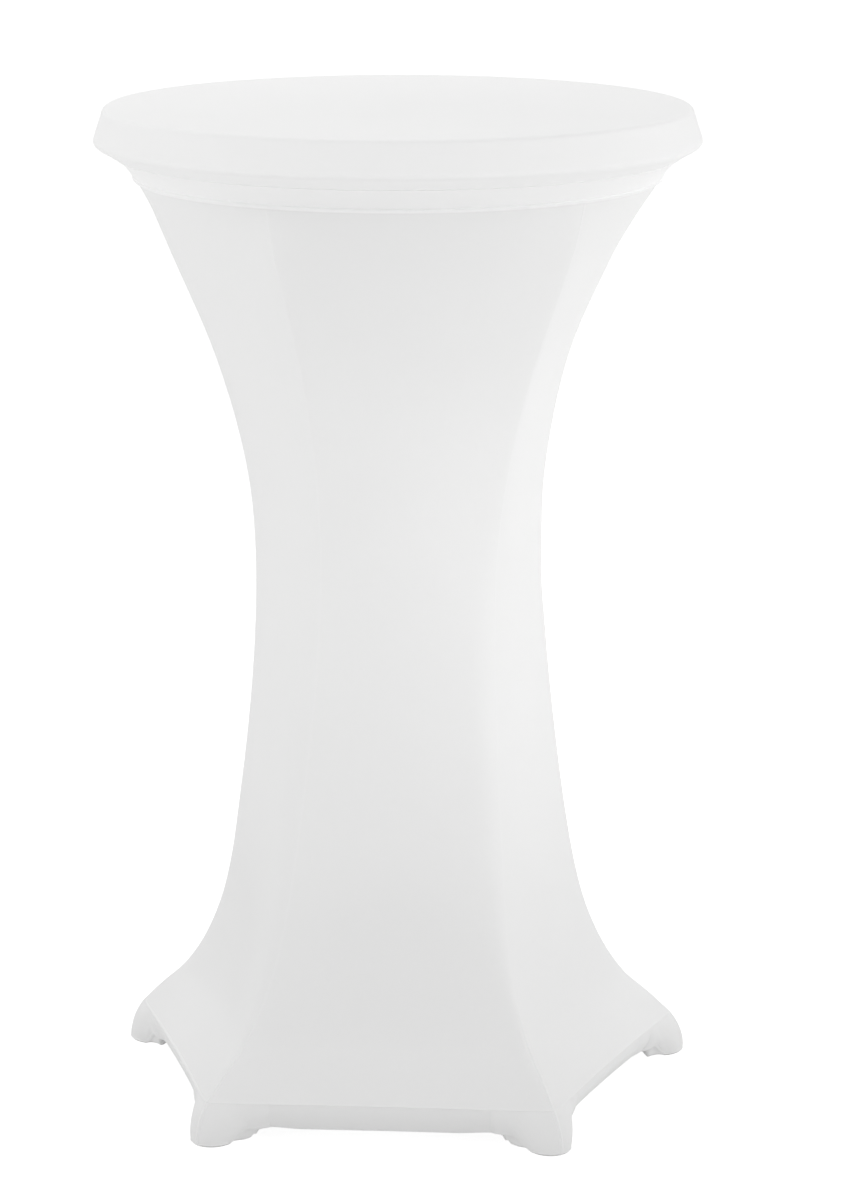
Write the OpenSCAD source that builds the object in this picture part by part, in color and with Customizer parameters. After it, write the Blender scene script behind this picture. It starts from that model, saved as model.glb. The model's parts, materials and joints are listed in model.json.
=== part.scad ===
// Round bar-height table on a five-armed base, dressed in a stretch-fabric cover
// with a loose topper. +Z is up, the origin is on the floor on the table's axis,
// and one foot points along +Y.

/* [Overall] */
// Height of the dressed table
overall_h = 1150; // [1100:1:1180]
// Widest radius of the topper, round the table top's rim
rim_r = 346; // [345:1:350]
// Radius of the flat top inside its rounded edge
flat_top_r = 331; // [328:1:333]
// Height of the rim's widest line below the top
rim_drop = 36; // [32:1:38]

/* [Cover] */
// Thickness of the stretch fabric
cloth_t = 1.1; // [0.8:0.1:1.2]
// Height of the seam that joins the collar to the side panels
collar_seam_z = 1067; // [1060:1:1070]
// Thickness of the rolled collar seam
seam_t = 2.5; // [2:0.5:3]
// Height of the seam that joins the side panels to the hem
hem_seam_z = 49; // [46:1:54]
// Height of the hem's lower edge above the floor
hem_edge_z = 17.5; // [16:0.5:24]
// How far the side seams turn round the cover from foot to collar, in degrees
seam_twist = 12; // [0:1:14]

/* [Feet] */
// Distance from the axis to the tip of each toe pocket
toe_tip_r = 351; // [348:1:354]
// Half the width of a toe pocket
toe_half_w = 24; // [23:1:27]
// Distance from the axis to each levelling glide
glide_r = 322; // [318:1:324]
// Travel of a levelling glide
glide_travel = 8; // [2:1:8]

/* [Table frame] */
// Outside radius of the column
column_r = 30; // [26:1:32]
// Wall thickness of the column
column_wall = 2; // [1.5:0.5:3]
// Width of each base arm
arm_w = 30; // [24:1:32]
// Radius of the two plates that clamp the arms
hub_r = 82; // [76:1:90]
// Radius of the plate under the table top
spider_r = 120; // [100:5:150]

/* [Hidden] */
$fn = 96;
feet = 5;
sector = 360 / feet;
first_foot = 90;
gap = 0.3;

// Stations up the cover: height, radius at the seam ridge, flatness of the panels
// (0 is a round section, 1 a straight-sided pentagon)
stations = [
    [hem_seam_z, 334, 1],
    [75, 308, 1.1],
    [105, 276.5, 1.15],
    [150, 247, 1.05],
    [210, 223, 0.85],
    [300, 203.5, 0.45],
    [420, 187, 0.4],
    [540, 174.5, 0.28],
    [640, 169, 0.14],
    [740, 182, 0.38],
    [860, 217, 0.6],
    [980, 268, 0.48],
    [1020, 284, 0.33],
    [collar_seam_z, 297, 0]
];
corner_r = stations[0][1];
panel_cols = 10;
panel_rows = 24;
row_crowding = 1.25;
crease_low_z = 520;
crease_high_z = 720;

// Rim section, as heights below the top and radii inside the widest radius
top_z = overall_h;
rim_z = top_z - rim_drop;
hem_lip_r = 321;
hem_lip_z = rim_z - 19.5;
collar_top_r = 313.5;
elastic_h = 5;
skirt_end_z = rim_z - 3;
liner_gap = cloth_t + gap;
board_gap = liner_gap + cloth_t;

// Toe pocket
pocket_reach = 58;
pocket_cols = 8;
wall_rows = 7;
sole_rows = 2;
toe_share = 0.62;
toe_centre_r = toe_tip_r - toe_half_w;
toe_bulge = 4;
sole_inset = 4;
sole_round_z = 4;
sole_flat_y = 20;
sole_flat_share = 0.88;
hem_lean = 3.5;

// Table frame
board_top_z = top_z - board_gap;
board_under_z = top_z - 28;
spider_t = 5;
spider_z = board_under_z - spider_t;
socket_wall = 6;
socket_depth = 37;
screw_count = 8;
screw_ring_r = 95;
screw_r = 2.5;
screw_depth = 14;
screw_head_r = 5;
screw_head_h = 3.5;
hub_low_z = 54;
hub_plate_t = 6;
arm_low_z = hub_low_z + hub_plate_t;
arm_high_z = 112;
arm_start_r = column_r + 2;
arm_tip_low_z = 23;
arm_tip_high_z = 38;
hub_bolt_ring_r = 60;
hub_bolt_r = 5;
hub_bolt_hole_r = 5.5;
hex_r = 9;
hex_h = 8;
rod_r = 6;
rod_hole_r = 6.5;
rod_end_z = 36;
washer_r = 16;
washer_t = 2;
stud_r = 4;
stud_hole_r = 4.05;
pad_r = 17;
pad_h = 7;
pad_z = cloth_t + gap;
pad_hex_h = 5;
stud_top_z = arm_tip_high_z - glide_travel - 1;

// ---- shape of the cover ----

function smooth(t) = t * t * (3 - 2 * t);
function clamp01(t) = min(max(t, 0), 1);

function last_station() = len(stations) - 1;
function segment(z) = min([for (i = [0 : last_station() - 1]) if (z <= stations[i + 1][0]) i]);
function slope(i, c) =
    let (a = stations[max(i - 1, 0)], b = stations[min(i + 1, last_station())])
    (b[c] - a[c]) / (b[0] - a[0]);
function along_stations(z, c) =
    let (
        i = segment(min(z, stations[last_station()][0])),
        a = stations[i],
        b = stations[i + 1],
        h = b[0] - a[0],
        t = clamp01((z - a[0]) / h)
    )
    a[c] * (1 - smooth(t)) + b[c] * smooth(t)
        + h * slope(i, c) * t * (1 - t) * (1 - t)
        - h * slope(i + 1, c) * t * t * (1 - t);

// Turn of the side seams and of the panel creases at a height, in degrees
function seam_turn(z) = seam_twist * sin(90 * clamp01((z - hem_seam_z) / (collar_seam_z - hem_seam_z)));
function crease_turn(z) =
    seam_turn(z) * smooth(clamp01((z - crease_low_z) / (crease_high_z - crease_low_z)));

// Radius of the cover at an angle and a height
function from_crease(angle, z) =
    let (a = angle - first_foot - crease_turn(z) + 10 * sector + sector / 2)
    abs(a - sector * floor(a / sector) - sector / 2);
function cover_r(angle, z) =
    along_stations(z, 1)
        * (1 - along_stations(z, 2)
            * (1 - cos(sector / 2) / cos(sector / 2 - from_crease(angle, z))));
function cover_point(angle, z, inset) =
    let (r = cover_r(angle, z) - inset)
    [r * cos(angle), r * sin(angle), z];

// ---- closed skin from an outer and an inner grid of points ----

function at(cols, row, col) = row * (cols + 1) + col;
function grid_faces(rows, cols, base, flip) = [
    for (i = [0 : rows - 1])
        for (j = [0 : cols - 1])
            for (half = [0 : 1])
                let (
                    a = base + at(cols, i, j),
                    b = base + at(cols, i, j + 1),
                    c = base + at(cols, i + 1, j + 1),
                    d = base + at(cols, i + 1, j),
                    tri = half == 0 ? [a, b, c] : [a, c, d]
                )
                flip ? [tri[2], tri[1], tri[0]] : tri
];
function edge_strip(path, shift, flip) = [
    for (i = [0 : len(path) - 2])
        for (half = [0 : 1])
            let (
                a = path[i],
                b = path[i + 1],
                tri = half == 0 ? [a, b, b + shift] : [a, b + shift, a + shift]
            )
            flip ? [tri[2], tri[1], tri[0]] : tri
];
module skin(outer, inner, rows, cols) {
    n = (rows + 1) * (cols + 1);
    low = [for (j = [0 : cols]) at(cols, 0, j)];
    high = [for (j = [0 : cols]) at(cols, rows, j)];
    near = [for (i = [0 : rows]) at(cols, i, 0)];
    far = [for (i = [0 : rows]) at(cols, i, cols)];
    polyhedron(
        points = concat(outer, inner),
        faces = concat(
            grid_faces(rows, cols, 0, true),
            grid_faces(rows, cols, n, false),
            edge_strip(low, n, false),
            edge_strip(high, n, true),
            edge_strip(near, n, true),
            edge_strip(far, n, false)
        ),
        convexity = 6
    );
}

// ---- side panels ----

function row_z(i) =
    hem_seam_z + (collar_seam_z - hem_seam_z) * pow(i / panel_rows, row_crowding);
function panel_grid(k, inset) = [
    for (i = [0 : panel_rows])
        for (j = [0 : panel_cols])
            let (
                z = row_z(i),
                angle = first_foot + sector * (k + j / panel_cols) + seam_turn(z)
            )
            cover_point(angle, z, inset)
];
module panel(k) {
    color("white")
        skin(panel_grid(k, 0), panel_grid(k, cloth_t), panel_rows, panel_cols);
}

// ---- hem between the feet ----

module hem_band(k) {
    apothem = corner_r * cos(sector / 2);
    side = 2 * corner_r * sin(sector / 2);
    length = side - 2 * pocket_reach / sin(90 - sector / 2);
    color("whitesmoke")
        rotate([0, 0, first_foot + sector * (k + 0.5)])
            translate([0, length / 2, 0])
                rotate([90, 0, 0])
                    linear_extrude(height = length)
                        polygon([
                            [apothem, hem_seam_z],
                            [apothem - cloth_t, hem_seam_z],
                            [apothem - hem_lean - cloth_t, hem_edge_z],
                            [apothem - hem_lean, hem_edge_z]
                        ]);
}

// ---- toe pockets, each cut in two halves that meet at the toe seam ----

// Local frame: x outwards along the foot, y across it, u from the toe seam to the mouth
function pocket_top(u) = [corner_r - u * pocket_reach * tan(sector / 2), u * pocket_reach, hem_seam_z];
function mouth_share(u) = clamp01((u - toe_share) / (1 - toe_share));
function toe_turn(u) = 90 * min(u / toe_share, 1) - (90 - sector / 2) * smooth(mouth_share(u));
function outward(u) = [cos(toe_turn(u)), sin(toe_turn(u)), 0];
function pocket_low(u) =
    u <= toe_share
        ? [toe_centre_r, 0, 0] + toe_half_w * outward(u)
        : let (
                t = mouth_share(u),
                mouth = pocket_top(1) - hem_lean * outward(1)
            )
            [
                toe_centre_r + (mouth[0] - toe_centre_r) * t,
                toe_half_w + (mouth[1] - toe_half_w) * smooth(t),
                hem_edge_z * smooth(t)
            ];
function toe_weight(u) = 1 - smooth(clamp01((u - 0.3) / 0.7));
function wall_point(u, v, inset) =
    let (
        low = pocket_low(u),
        high = pocket_top(u),
        bulge = toe_bulge * 4 * v * (1 - v) * toe_weight(u),
        tuck = v == 0 ? sole_inset * toe_weight(u) : 0,
        lift = v == 0 ? 0 : max(sole_round_z * (1 - v) * toe_weight(u), 0)
    )
    low * (1 - v) + high * v + outward(u) * (bulge - tuck - inset) + [0, 0, lift];
function sole_point(u, row, rise) =
    let (
        rim = wall_point(u, 0, rise > 0 ? cloth_t : 0),
        x = min(rim[0], toe_centre_r + 8)
    )
    row == 0
        ? [x, 0, rise]
        : [(x + rim[0]) / 2, min(rim[1] * sole_flat_share, sole_flat_y), rise];
function pocket_grid(inset) = [
    for (i = [0 : sole_rows + wall_rows])
        for (j = [0 : pocket_cols])
            let (u = j / pocket_cols)
            i < sole_rows
                ? sole_point(u, i, inset)
                : wall_point(u, (i - sole_rows) / wall_rows, inset)
                    + [0, 0, i == sole_rows ? inset : 0]
];
module pocket_half(k, side) {
    rows = sole_rows + wall_rows;
    color("whitesmoke")
        rotate([0, 0, first_foot + sector * k])
            mirror([0, side < 0 ? 1 : 0, 0])
                skin(pocket_grid(0), pocket_grid(cloth_t), rows, pocket_cols);
}

// ---- top of the cover, collar and topper ----

// Outline of the rim, drawn inside the topper's own outline by a distance
function rim_line(d) = [
    [flat_top_r - d, top_z - d],
    [flat_top_r + 4.5 - d, top_z - 2 - d / 2],
    [rim_r - 7.5 - d, top_z - 9],
    [rim_r - 4 - d, top_z - 19],
    [rim_r - 1.2 - d, top_z - 29],
    [rim_r - d, rim_z]
];
function lip_line(d) = [
    [rim_r - 0.7 - d, rim_z - 4 + d * 0.2],
    [rim_r - 4 - d * 0.8, rim_z - 7 + d * 0.6],
    [rim_r - 9.5 - d * 0.6, rim_z - 10 + d * 0.8],
    [rim_r - 17 - d * 0.5, rim_z - 14.5 + d * 0.9],
    [hem_lip_r, hem_lip_z + d]
];
function backwards(list) = [for (i = [len(list) - 1 : -1 : 0]) list[i]];

module top_cap() {
    color("white")
        rotate_extrude()
            polygon(concat(
                [[0, top_z]],
                rim_line(0),
                [[rim_r, skirt_end_z], [rim_r - cloth_t, skirt_end_z]],
                backwards(rim_line(cloth_t)),
                [[0, top_z - cloth_t]]
            ));
}
module cap_elastic() {
    color("whitesmoke")
        rotate_extrude()
            translate([rim_r - cloth_t, skirt_end_z - elastic_h])
                square([cloth_t, elastic_h]);
}
module cover_top() {
    color("white")
        rotate_extrude()
            polygon(concat(
                [[0, top_z - liner_gap]],
                rim_line(liner_gap),
                lip_line(liner_gap),
                backwards(lip_line(board_gap)),
                backwards(rim_line(board_gap)),
                [[0, board_top_z]]
            ));
}
module collar_band() {
    foot_r = stations[last_station()][1];
    foot_z = collar_seam_z + seam_t;
    color("white")
        rotate_extrude()
            polygon([
                [hem_lip_r, hem_lip_z + liner_gap],
                [collar_top_r, hem_lip_z - 5],
                [foot_r + 7.5, foot_z + 10],
                [foot_r + 3.5, foot_z + 4],
                [foot_r + 1.5, foot_z],
                [foot_r + 1.5 - cloth_t, foot_z],
                [foot_r + 3.5 - cloth_t, foot_z + 4.5],
                [foot_r + 7.5 - cloth_t, foot_z + 10.5],
                [collar_top_r - cloth_t, hem_lip_z - 4],
                [hem_lip_r, hem_lip_z + board_gap]
            ]);
}
module collar_seam() {
    foot_r = stations[last_station()][1];
    color("white")
        rotate_extrude()
            translate([foot_r - cloth_t, collar_seam_z])
                square([cloth_t + seam_t, seam_t]);
}

// ---- table frame ----

module screw_places() {
    for (i = [0 : screw_count - 1])
        rotate([0, 0, first_foot + 360 / screw_count * i])
            translate([screw_ring_r, 0, 0])
                children();
}
module foot_places() {
    for (k = [0 : feet - 1])
        rotate([0, 0, first_foot + sector * k])
            children();
}

module table_board() {
    color("gainsboro")
        difference() {
            rotate_extrude()
                polygon(concat(
                    [[0, board_top_z]],
                    rim_line(board_gap),
                    lip_line(board_gap),
                    [[hem_lip_r - 8, hem_lip_z + 7], [hem_lip_r - 14, board_under_z], [0, board_under_z]]
                ));
            screw_places()
                translate([0, 0, board_under_z - 1])
                    cylinder(r = screw_r + 0.1, h = screw_depth + 2);
        }
}
module top_spider() {
    color("dimgray")
        difference() {
            union() {
                translate([0, 0, spider_z])
                    cylinder(r = spider_r, h = spider_t);
                translate([0, 0, spider_z - socket_depth])
                    cylinder(r = column_r + socket_wall, h = socket_depth);
            }
            translate([0, 0, spider_z - socket_depth - 1])
                cylinder(r = column_r + 0.05, h = socket_depth + 1);
            translate([0, 0, spider_z - 1])
                cylinder(r = rod_hole_r, h = spider_t + 2);
            screw_places()
                translate([0, 0, spider_z - 1])
                    cylinder(r = screw_r + 0.5, h = spider_t + 2);
        }
}
module plate_screws() {
    color("silver")
        screw_places() {
            translate([0, 0, spider_z])
                cylinder(r = screw_r, h = spider_t + screw_depth);
            translate([0, 0, spider_z - screw_head_h])
                cylinder(r = screw_head_r, h = screw_head_h);
        }
}
module column_tube() {
    color("dimgray")
        difference() {
            translate([0, 0, arm_low_z])
                cylinder(r = column_r, h = spider_z - arm_low_z);
            translate([0, 0, arm_low_z - 1])
                cylinder(r = column_r - column_wall, h = spider_z - arm_low_z + 2);
        }
}
module tie_rod() {
    color("silver")
        translate([0, 0, rod_end_z])
            cylinder(r = rod_r, h = spider_z + spider_t - rod_end_z);
}
module rod_washer() {
    color("silver")
        translate([0, 0, hub_low_z - washer_t])
            difference() {
                cylinder(r = washer_r, h = washer_t);
                translate([0, 0, -1])
                    cylinder(r = rod_hole_r, h = washer_t + 2);
            }
}
module rod_nut() {
    color("silver")
        translate([0, 0, hub_low_z - washer_t - hex_h])
            difference() {
                cylinder(r = hex_r + 2, h = hex_h, $fn = 6);
                translate([0, 0, -1])
                    cylinder(r = rod_r + 0.05, h = hex_h + 2);
            }
}
module hub_plate(z, centre_hole_r) {
    difference() {
        translate([0, 0, z])
            cylinder(r = hub_r, h = hub_plate_t);
        translate([0, 0, z - 1])
            cylinder(r = centre_hole_r, h = hub_plate_t + 2);
        foot_places()
            translate([hub_bolt_ring_r, 0, z - 1])
                cylinder(r = hub_bolt_hole_r, h = hub_plate_t + 2);
    }
}
module hub_plate_upper() {
    color("dimgray")
        hub_plate(arm_high_z, column_r + 0.1);
}
module hub_plate_lower() {
    color("dimgray")
        hub_plate(hub_low_z, rod_hole_r);
}
module hub_bolts() {
    color("silver")
        foot_places()
            translate([hub_bolt_ring_r, 0, 0]) {
                translate([0, 0, hub_low_z])
                    cylinder(r = hub_bolt_r, h = arm_high_z + hub_plate_t + hex_h + 3 - hub_low_z);
                translate([0, 0, hub_low_z - hex_h])
                    cylinder(r = hex_r, h = hex_h, $fn = 6);
            }
}
module hub_nuts() {
    color("silver")
        foot_places()
            translate([hub_bolt_ring_r, 0, arm_high_z + hub_plate_t])
                difference() {
                    cylinder(r = hex_r, h = hex_h, $fn = 6);
                    translate([0, 0, -1])
                        cylinder(r = hub_bolt_r + 0.05, h = hex_h + 2);
                }
}
module arm(k) {
    color("dimgray")
        rotate([0, 0, first_foot + sector * k])
            difference() {
                union() {
                    translate([0, arm_w / 2, 0])
                        rotate([90, 0, 0])
                            linear_extrude(height = arm_w)
                                polygon([
                                    [arm_start_r, arm_low_z],
                                    [arm_start_r, arm_high_z],
                                    [hub_r + 4, arm_high_z],
                                    [180, 74],
                                    [glide_r, arm_tip_high_z],
                                    [glide_r, arm_tip_low_z],
                                    [270, 29],
                                    [160, 50],
                                    [hub_r + 4, arm_low_z]
                                ]);
                    translate([glide_r, 0, arm_tip_low_z])
                        cylinder(r = arm_w / 2, h = arm_tip_high_z - arm_tip_low_z);
                }
                translate([glide_r, 0, arm_tip_low_z - 1])
                    cylinder(r = stud_hole_r, h = arm_tip_high_z - arm_tip_low_z + 2);
                translate([hub_bolt_ring_r, 0, arm_low_z - 1])
                    cylinder(r = hub_bolt_hole_r, h = arm_high_z - arm_low_z + 2);
            }
}
module glide(k) {
    color("silver")
        rotate([0, 0, first_foot + sector * k])
            translate([glide_r, 0, pad_z])
                union() {
                    cylinder(r = pad_r, h = pad_h);
                    translate([0, 0, pad_h])
                        cylinder(r = hex_r - 1, h = pad_hex_h, $fn = 6);
                    cylinder(r = stud_r, h = stud_top_z - pad_z);
                }
}

top_cap();
cap_elastic();
cover_top();
collar_band();
collar_seam();
for (k = [0 : feet - 1]) {
    panel(k);
    hem_band(k);
    pocket_half(k, 1);
    pocket_half(k, -1);
    arm(k);
    glide(k);
}
table_board();
top_spider();
plate_screws();
column_tube();
tie_rod();
rod_washer();
rod_nut();
hub_plate_upper();
hub_plate_lower();
hub_bolts();
hub_nuts();
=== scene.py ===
import bpy
import bmesh
import json
import math
from mathutils import Matrix, Vector

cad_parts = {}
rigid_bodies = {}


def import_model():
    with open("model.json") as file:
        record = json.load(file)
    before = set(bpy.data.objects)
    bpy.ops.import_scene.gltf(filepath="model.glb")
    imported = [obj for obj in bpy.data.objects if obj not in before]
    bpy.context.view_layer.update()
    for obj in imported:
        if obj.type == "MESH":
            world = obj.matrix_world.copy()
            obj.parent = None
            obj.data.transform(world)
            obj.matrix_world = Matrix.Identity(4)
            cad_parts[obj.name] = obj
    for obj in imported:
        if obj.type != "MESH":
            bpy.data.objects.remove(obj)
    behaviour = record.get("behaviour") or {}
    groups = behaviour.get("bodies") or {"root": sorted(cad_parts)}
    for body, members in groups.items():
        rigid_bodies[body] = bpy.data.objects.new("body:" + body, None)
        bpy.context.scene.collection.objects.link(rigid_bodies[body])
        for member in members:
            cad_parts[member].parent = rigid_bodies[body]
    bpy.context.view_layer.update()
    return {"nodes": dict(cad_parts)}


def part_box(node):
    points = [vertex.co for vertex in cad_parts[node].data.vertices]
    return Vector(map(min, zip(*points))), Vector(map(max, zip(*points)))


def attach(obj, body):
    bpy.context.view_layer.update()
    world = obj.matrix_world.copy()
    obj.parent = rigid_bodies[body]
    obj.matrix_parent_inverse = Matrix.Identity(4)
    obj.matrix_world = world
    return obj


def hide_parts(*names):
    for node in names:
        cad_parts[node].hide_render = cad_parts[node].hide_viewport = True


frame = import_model()
for old in [o for o in bpy.data.objects if o.name in ("Cube", "Light", "Camera")]:
    bpy.data.objects.remove(old)
print("frame loaded")

# heights and radii that the frame gives, in metres
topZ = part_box("top_cap")[1].z
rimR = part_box("top_cap")[1].y
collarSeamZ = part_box("collar_seam")[0].z
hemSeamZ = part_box("panel_1")[0].z
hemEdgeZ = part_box("hem_band_3")[0].z
mainBody = "table_and_cover"
topperBody = "topper"
feet = 5
sector = 360 / feet
firstFoot = 90

# the stretched cover: height, radius at the seam ridge, flatness of the panels
coverShape = {
    "stations": [
        (hemSeamZ, 0.334, 1.0),
        (0.075, 0.308, 1.1),
        (0.105, 0.2765, 1.15),
        (0.150, 0.247, 1.05),
        (0.210, 0.223, 0.85),
        (0.300, 0.2035, 0.45),
        (0.420, 0.187, 0.40),
        (0.540, 0.1745, 0.28),
        (0.640, 0.169, 0.14),
        (0.740, 0.182, 0.38),
        (0.860, 0.217, 0.60),
        (0.980, 0.268, 0.48),
        (1.020, 0.284, 0.33),
        (collarSeamZ, 0.297, 0.0),
    ],
    "seamTwist": 12,  # degrees from foot to collar
    "creaseLow": 0.52,  # below this the creases stay over the feet
    "creaseHigh": 0.72,  # above this they follow the seams
    "softFoot": 1.2,  # half-width of a crease in degrees, at the foot
    "softMiddle": 5,
    "softTop": 1.6,
    "softRises": 0.06,  # height where a crease starts to widen
    "softFalls": 0.62,  # and where it narrows again
    "softSpan": 0.2,
    "normalTurn": 0.15,  # steps in degrees and metres that give the surface's direction
    "normalRise": 0.002,
}


def smooth(t):
    t = min(max(t, 0.0), 1.0)
    return t * t * (3 - 2 * t)


def alongStations(z, column):
    rows = coverShape["stations"]
    last = len(rows) - 1
    z = min(max(z, rows[0][0]), rows[last][0])
    i = min(next(n for n in range(last) if z <= rows[n + 1][0]), last - 1)

    def slope(n):
        low, high = rows[max(n - 1, 0)], rows[min(n + 1, last)]
        return (high[column] - low[column]) / (high[0] - low[0])

    step = rows[i + 1][0] - rows[i][0]
    t = (z - rows[i][0]) / step
    between = rows[i][column] * (1 - smooth(t)) + rows[i + 1][column] * smooth(t)
    bend = slope(i) * t * (1 - t) ** 2 - slope(i + 1) * t * t * (1 - t)
    return between + step * bend


def seamTurn(z):
    rise = (z - hemSeamZ) / (collarSeamZ - hemSeamZ)
    return coverShape["seamTwist"] * math.sin(math.pi / 2 * min(max(rise, 0), 1))


def creaseTurn(z):
    low, high = coverShape["creaseLow"], coverShape["creaseHigh"]
    return seamTurn(z) * smooth((z - low) / (high - low))


def creaseSoftness(z):
    foot, middle, top = (coverShape[k] for k in ("softFoot", "softMiddle", "softTop"))
    rises, falls, span = (coverShape[k] for k in ("softRises", "softFalls", "softSpan"))
    return foot + (middle - foot) * smooth((z - rises) / span) + (top - middle) * smooth((z - falls) / span)


def coverR(angle, z):
    half = sector / 2
    away = abs((angle - firstFoot - creaseTurn(z) + half) % sector - half)
    soft = creaseSoftness(z)
    away = half * (math.hypot(away, soft) - soft) / (math.hypot(half, soft) - soft)
    polygon = math.cos(math.radians(half)) / math.cos(math.radians(half - away))
    return alongStations(z, 1) * (1 - alongStations(z, 2) * (1 - polygon))


def polar(r, angle, z):
    a = math.radians(angle)
    return Vector((r * math.cos(a), r * math.sin(a), z))


def coverPoint(angle, z):
    return polar(coverR(angle, z), angle, z)


def coverNormal(angle, z):
    turn, rise = coverShape["normalTurn"], coverShape["normalRise"]
    across = coverPoint(angle + turn, z) - coverPoint(angle - turn, z)
    up = coverPoint(angle, min(z + rise, collarSeamZ)) - coverPoint(angle, max(z - rise, hemSeamZ))
    return across.cross(up).normalized()


def sameWay(bm):
    # turns all the faces outwards, also on an open sheet
    bmesh.ops.recalc_face_normals(bm, faces=bm.faces)
    outermost = max(bm.faces, key=lambda face: face.calc_center_median().xy.length)
    if outermost.normal.xy.dot(outermost.calc_center_median().xy) < 0:
        bmesh.ops.reverse_faces(bm, faces=bm.faces)


def finishMesh(bm, name, material, recalc=False):
    if recalc:
        sameWay(bm)
    for face in bm.faces:
        face.smooth = True
    for edge in bm.edges:
        edge.smooth = not edge.is_boundary  # a cut edge stays crisp
    mesh = bpy.data.meshes.new(name)
    bm.to_mesh(mesh)
    bm.free()
    piece = bpy.data.objects.new(name, mesh)
    bpy.context.scene.collection.objects.link(piece)
    mesh.materials.append(material)
    return piece


def thicken(piece, thickness):
    wall = piece.modifiers.new("cloth", "SOLIDIFY")
    wall.thickness = thickness
    wall.offset = -1  # inwards
    wall.use_even_offset = True
    return piece


# place(u, v) gives a point and its place on the flat cloth, in metres
def clothGrid(columns, rows, place, bm=None):
    bm = bm or bmesh.new()
    cloth = bm.loops.layers.uv.get("cloth") or bm.loops.layers.uv.new("cloth")
    made = bmesh.ops.create_grid(bm, x_segments=columns, y_segments=rows, size=0.5)["verts"]
    flat = {}
    for vert in made:
        vert.co, flat[vert] = place(vert.co.x + 0.5, vert.co.y + 0.5)
    for face in {f for v in made for f in v.link_faces}:
        for loop in face.loops:
            loop[cloth].uv = flat[loop.vert]
    return bm


# a smooth line through the points, for an outline that is spun
def curveThrough(points, steps):
    line = []
    ends = [points[0]] + list(points) + [points[-1]]
    for a, b, c, d in zip(ends, ends[1:], ends[2:], ends[3:]):
        a, b, c, d = (Vector(p) for p in (a, b, c, d))
        for n in range(steps):
            t = n / steps
            line.append(0.5 * (2 * b + (c - a) * t + (2 * a - 5 * b + 4 * c - d) * t * t
                               + (3 * b - a - 3 * c + d) * t ** 3))
    return line + [Vector(points[-1])]


# spins an outline of (radius, height) points round the table's axis
def spinCloth(outline, steps, ripple=None):
    bm = bmesh.new()
    along = bm.verts.layers.float.new("along")
    cloth = bm.loops.layers.uv.new("cloth")
    verts = []
    gone = 0.0
    for n, (r, z) in enumerate(outline):
        vert = bm.verts.new((r, 0, z))
        gone += (Vector(outline[n]) - Vector(outline[max(n - 1, 0)])).length
        vert[along] = gone
        verts.append(vert)
    edges = [bm.edges.new(pair) for pair in zip(verts, verts[1:])]
    bmesh.ops.spin(bm, geom=verts + edges, cent=(0, 0, 0), axis=(0, 0, 1), dvec=(0, 0, 0),
                   angle=2 * math.pi, steps=steps, use_merge=True)
    bmesh.ops.remove_doubles(bm, verts=bm.verts, dist=1e-6)
    bmesh.ops.recalc_face_normals(bm, faces=bm.faces)
    widest = max(r for r, z in outline)
    for face in bm.faces:
        middle = face.calc_center_median()
        here = math.atan2(middle.y, middle.x)
        for loop in face.loops:
            co = loop.vert.co
            turn = math.atan2(co.y, co.x) if co.xy.length > 1e-5 else here
            turn += 2 * math.pi * round((here - turn) / (2 * math.pi))
            loop[cloth].uv = (turn * widest, loop.vert[along])
    if ripple:
        for vert in bm.verts:
            vert.co = ripple(vert.co)
    return bm


def nodeGroup(name, inputs, outputs):
    group = bpy.data.node_groups.new(name, "ShaderNodeTree")
    for label, kind, value in inputs:
        socket = group.interface.new_socket(name=label, in_out="INPUT", socket_type=kind)
        if value is not None:
            socket.default_value = value
    for label, kind in outputs:
        group.interface.new_socket(name=label, in_out="OUTPUT", socket_type=kind)
    return group, group.nodes.new("NodeGroupInput"), group.nodes.new("NodeGroupOutput")


def mathNode(tree, operation, first, second=None, third=None):
    node = tree.nodes.new("ShaderNodeMath")
    node.operation = operation
    for socket, value in zip(node.inputs, (first, second, third)):
        if value is None:
            continue
        if isinstance(value, (int, float)):
            socket.default_value = value
        else:
            tree.links.new(value, socket)
    return node.outputs[0]


def noiseNode(tree, vector, scale, detail=3.0, roughness=0.55):
    node = tree.nodes.new("ShaderNodeTexNoise")
    tree.links.new(vector, node.inputs["Vector"])
    if isinstance(scale, (int, float)):
        node.inputs["Scale"].default_value = scale
    else:
        tree.links.new(scale, node.inputs["Scale"])
    node.inputs["Detail"].default_value = detail
    node.inputs["Roughness"].default_value = roughness
    return node.outputs["Fac"]


def mixColour(tree, factor, first, second):
    node = tree.nodes.new("ShaderNodeMix")
    node.data_type = "RGBA"
    tree.links.new(factor, node.inputs["Factor"])
    for socket, value in ((node.inputs[6], first), (node.inputs[7], second)):
        if isinstance(value, tuple):
            socket.default_value = value
        else:
            tree.links.new(value, socket)
    return node.outputs[2]


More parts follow.
